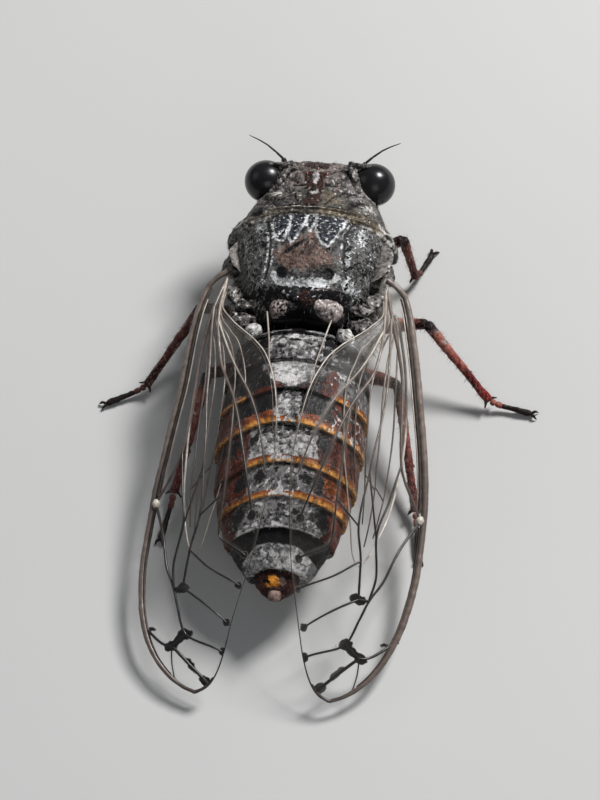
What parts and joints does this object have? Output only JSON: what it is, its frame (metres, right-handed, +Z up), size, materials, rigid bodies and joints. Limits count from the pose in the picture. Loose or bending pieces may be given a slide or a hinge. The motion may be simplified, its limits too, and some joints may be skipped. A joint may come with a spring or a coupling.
{
  "type": "cicada",
  "caption": "Life-size still cicada at rest: grey body with rust-banded abdomen, roofed clear veined wings, bulging dark eyes, slender reddish legs and short feelers.",
  "frame": {"origin": "on the floor plane under the middle of the bounding box; the floor is the level of the six feet", "axes": "+Y towards the head, +X to the insect's right side, +Z up"},
  "size_m": [0.0264, 0.0348, 0.0093],
  "materials": {
    "grey_cuticle": "satin, with grey dust and short silvery hairs",
    "brown_cuticle": "satin",
    "dark_cuticle": "semi gloss",
    "banded_cuticle": "satin, grey dust over rust and black bands",
    "leg_cuticle": "semi gloss",
    "eye_shell": "gloss",
    "wing_membrane": "clear film with raised veins"
  },
  "bodies": {
    "root": {"abdomen_base": "banded_cuticle", "abdomen_end": "banded_cuticle", "abdomen_middle": "banded_cuticle", "abdomen_rear": "banded_cuticle", "antenna_left": "dark_cuticle", "antenna_right": "dark_cuticle", "clypeus": "brown_cuticle", "eye_left": "eye_shell", "eye_right": "eye_shell", "foreleg_left_femur": "leg_cuticle", "foreleg_left_tarsus": "leg_cuticle", "foreleg_left_tibia": "leg_cuticle", "foreleg_right_femur": "leg_cuticle", "foreleg_right_tarsus": "leg_cuticle", "foreleg_right_tibia": "leg_cuticle", "forewing_left": "wing_membrane", "forewing_right": "wing_membrane", "head": "grey_cuticle", "hindleg_left_femur": "leg_cuticle", "hindleg_left_tarsus": "leg_cuticle", "hindleg_left_tibia": "leg_cuticle", "hindleg_right_femur": "leg_cuticle", "hindleg_right_tarsus": "leg_cuticle", "hindleg_right_tibia": "leg_cuticle", "hindwing_left": "wing_membrane", "hindwing_right": "wing_membrane", "mesonotum": "grey_cuticle", "midleg_left_femur": "leg_cuticle", "midleg_left_tarsus": "leg_cuticle", "midleg_left_tibia": "leg_cuticle", "midleg_right_femur": "leg_cuticle", "midleg_right_tarsus": "leg_cuticle", "midleg_right_tibia": "leg_cuticle", "operculum_left": "brown_cuticle", "operculum_right": "brown_cuticle", "pronotum": "grey_cuticle", "prosternum": "brown_cuticle", "pygofer": "dark_cuticle", "rostrum": "dark_cuticle", "thorax": "brown_cuticle"}
  },
  "joints": []
}
